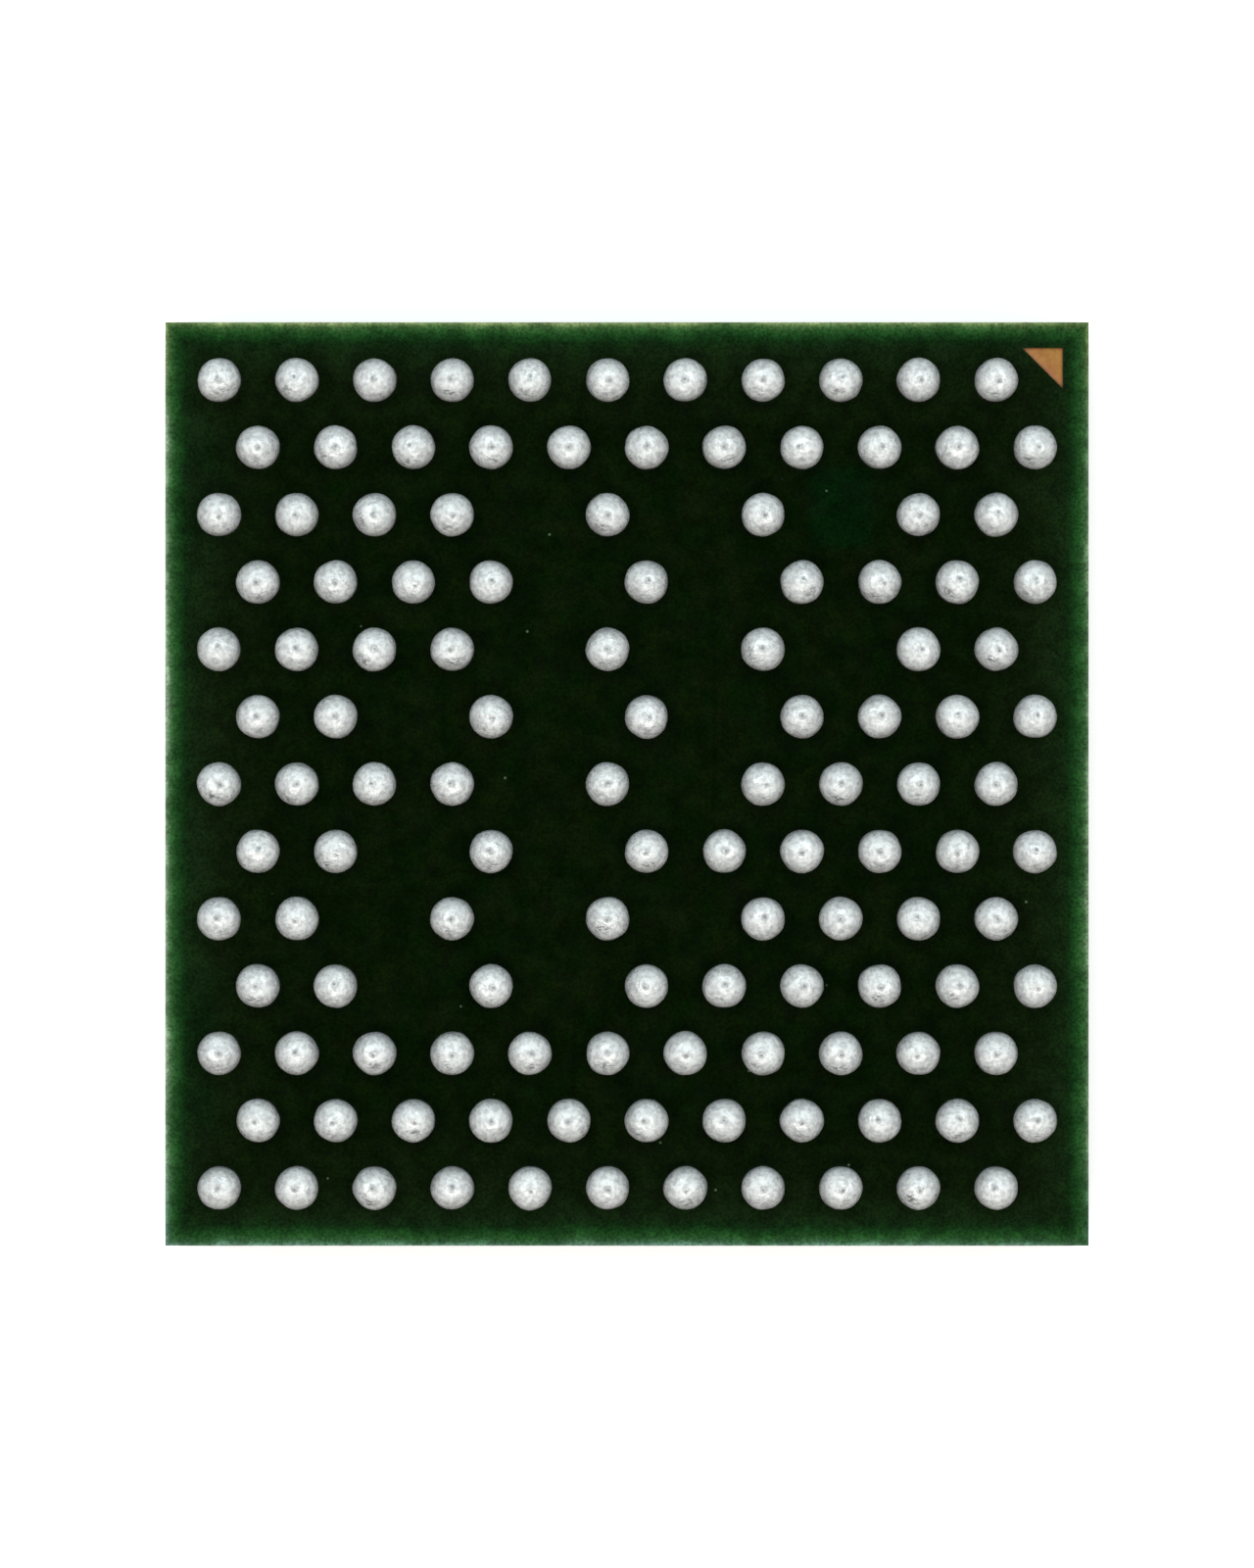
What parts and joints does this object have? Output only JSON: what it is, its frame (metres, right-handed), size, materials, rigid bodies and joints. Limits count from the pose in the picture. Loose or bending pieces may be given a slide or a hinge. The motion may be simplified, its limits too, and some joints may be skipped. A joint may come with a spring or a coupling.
{
  "type": "bga chip",
  "caption": "Square moulded chip package with staggered rows of solder balls on a green laminate, wire bonded inside.",
  "frame": {"origin": "middle of the flat moulded face that the chip lies on", "axes": "+Z out of the ball side; +X and +Y along the sides of the square body that meet at the A1 corner"},
  "size_m": [0.006, 0.006, 0.0009],
  "materials": {
    "mould": "fine-grained moulded epoxy",
    "solder_mask": "satin",
    "laminate": "sawn glass epoxy",
    "solder": "matte reflowed solder",
    "bare_copper": "dull bare copper",
    "copper": "etched copper",
    "bond_wire": "drawn wire",
    "pad_metal": "sputtered",
    "silicon": "polished",
    "attach_film": "matte"
  },
  "bodies": {
    "root": {"mould_cap": "mould", "die": "silicon", "die_attach": "attach_film", "die_pads": "pad_metal", "die_flag": "copper", "finger_vias": "copper", "flag_vias": "copper", "inner_mask": "solder_mask", "laminate_core": "laminate", "ball_lands": "copper", "outer_mask": "solder_mask", "corner_mark": "bare_copper", "bond_wires_right": "bond_wire", "bond_fingers_right": "copper", "bond_wires_back": "bond_wire", "bond_fingers_back": "copper", "bond_wires_left": "bond_wire", "bond_fingers_left": "copper", "bond_wires_front": "bond_wire", "bond_fingers_front": "copper", "ball_row_a": "solder", "ball_row_b": "solder", "ball_row_c": "solder", "ball_row_d": "solder", "ball_row_e": "solder", "ball_row_f": "solder", "ball_row_g": "solder", "ball_row_h": "solder", "ball_row_j": "solder", "ball_row_k": "solder", "ball_row_l": "solder", "ball_row_m": "solder", "ball_row_n": "solder"}
  },
  "joints": []
}
